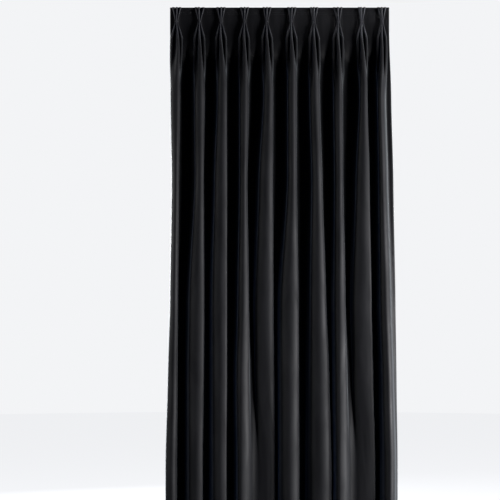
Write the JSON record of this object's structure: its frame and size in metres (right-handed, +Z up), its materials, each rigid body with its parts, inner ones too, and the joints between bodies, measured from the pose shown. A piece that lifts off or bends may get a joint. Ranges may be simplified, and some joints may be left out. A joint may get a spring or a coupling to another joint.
{
  "type": "pinch pleat velvet curtain",
  "caption": "Velvet curtain panel gathered by triple pinch pleats along a straight stiff heading, hanging in deep upright folds to a plain hem.",
  "frame": {"origin": "middle of the top edge of the heading, in the plane of the flat cloth between the pleats", "axes": "+X across the curtain to the viewer's right, -Y towards the viewer, +Z up; the cloth hangs down -Z"},
  "size_m": [1.0617, 0.1131, 2.5],
  "materials": {
    "velvet": "matt black to charcoal velvet with a soft sheen at grazing angles"
  },
  "bodies": {
    "root": {"velvet_panel": "velvet"}
  },
  "joints": []
}
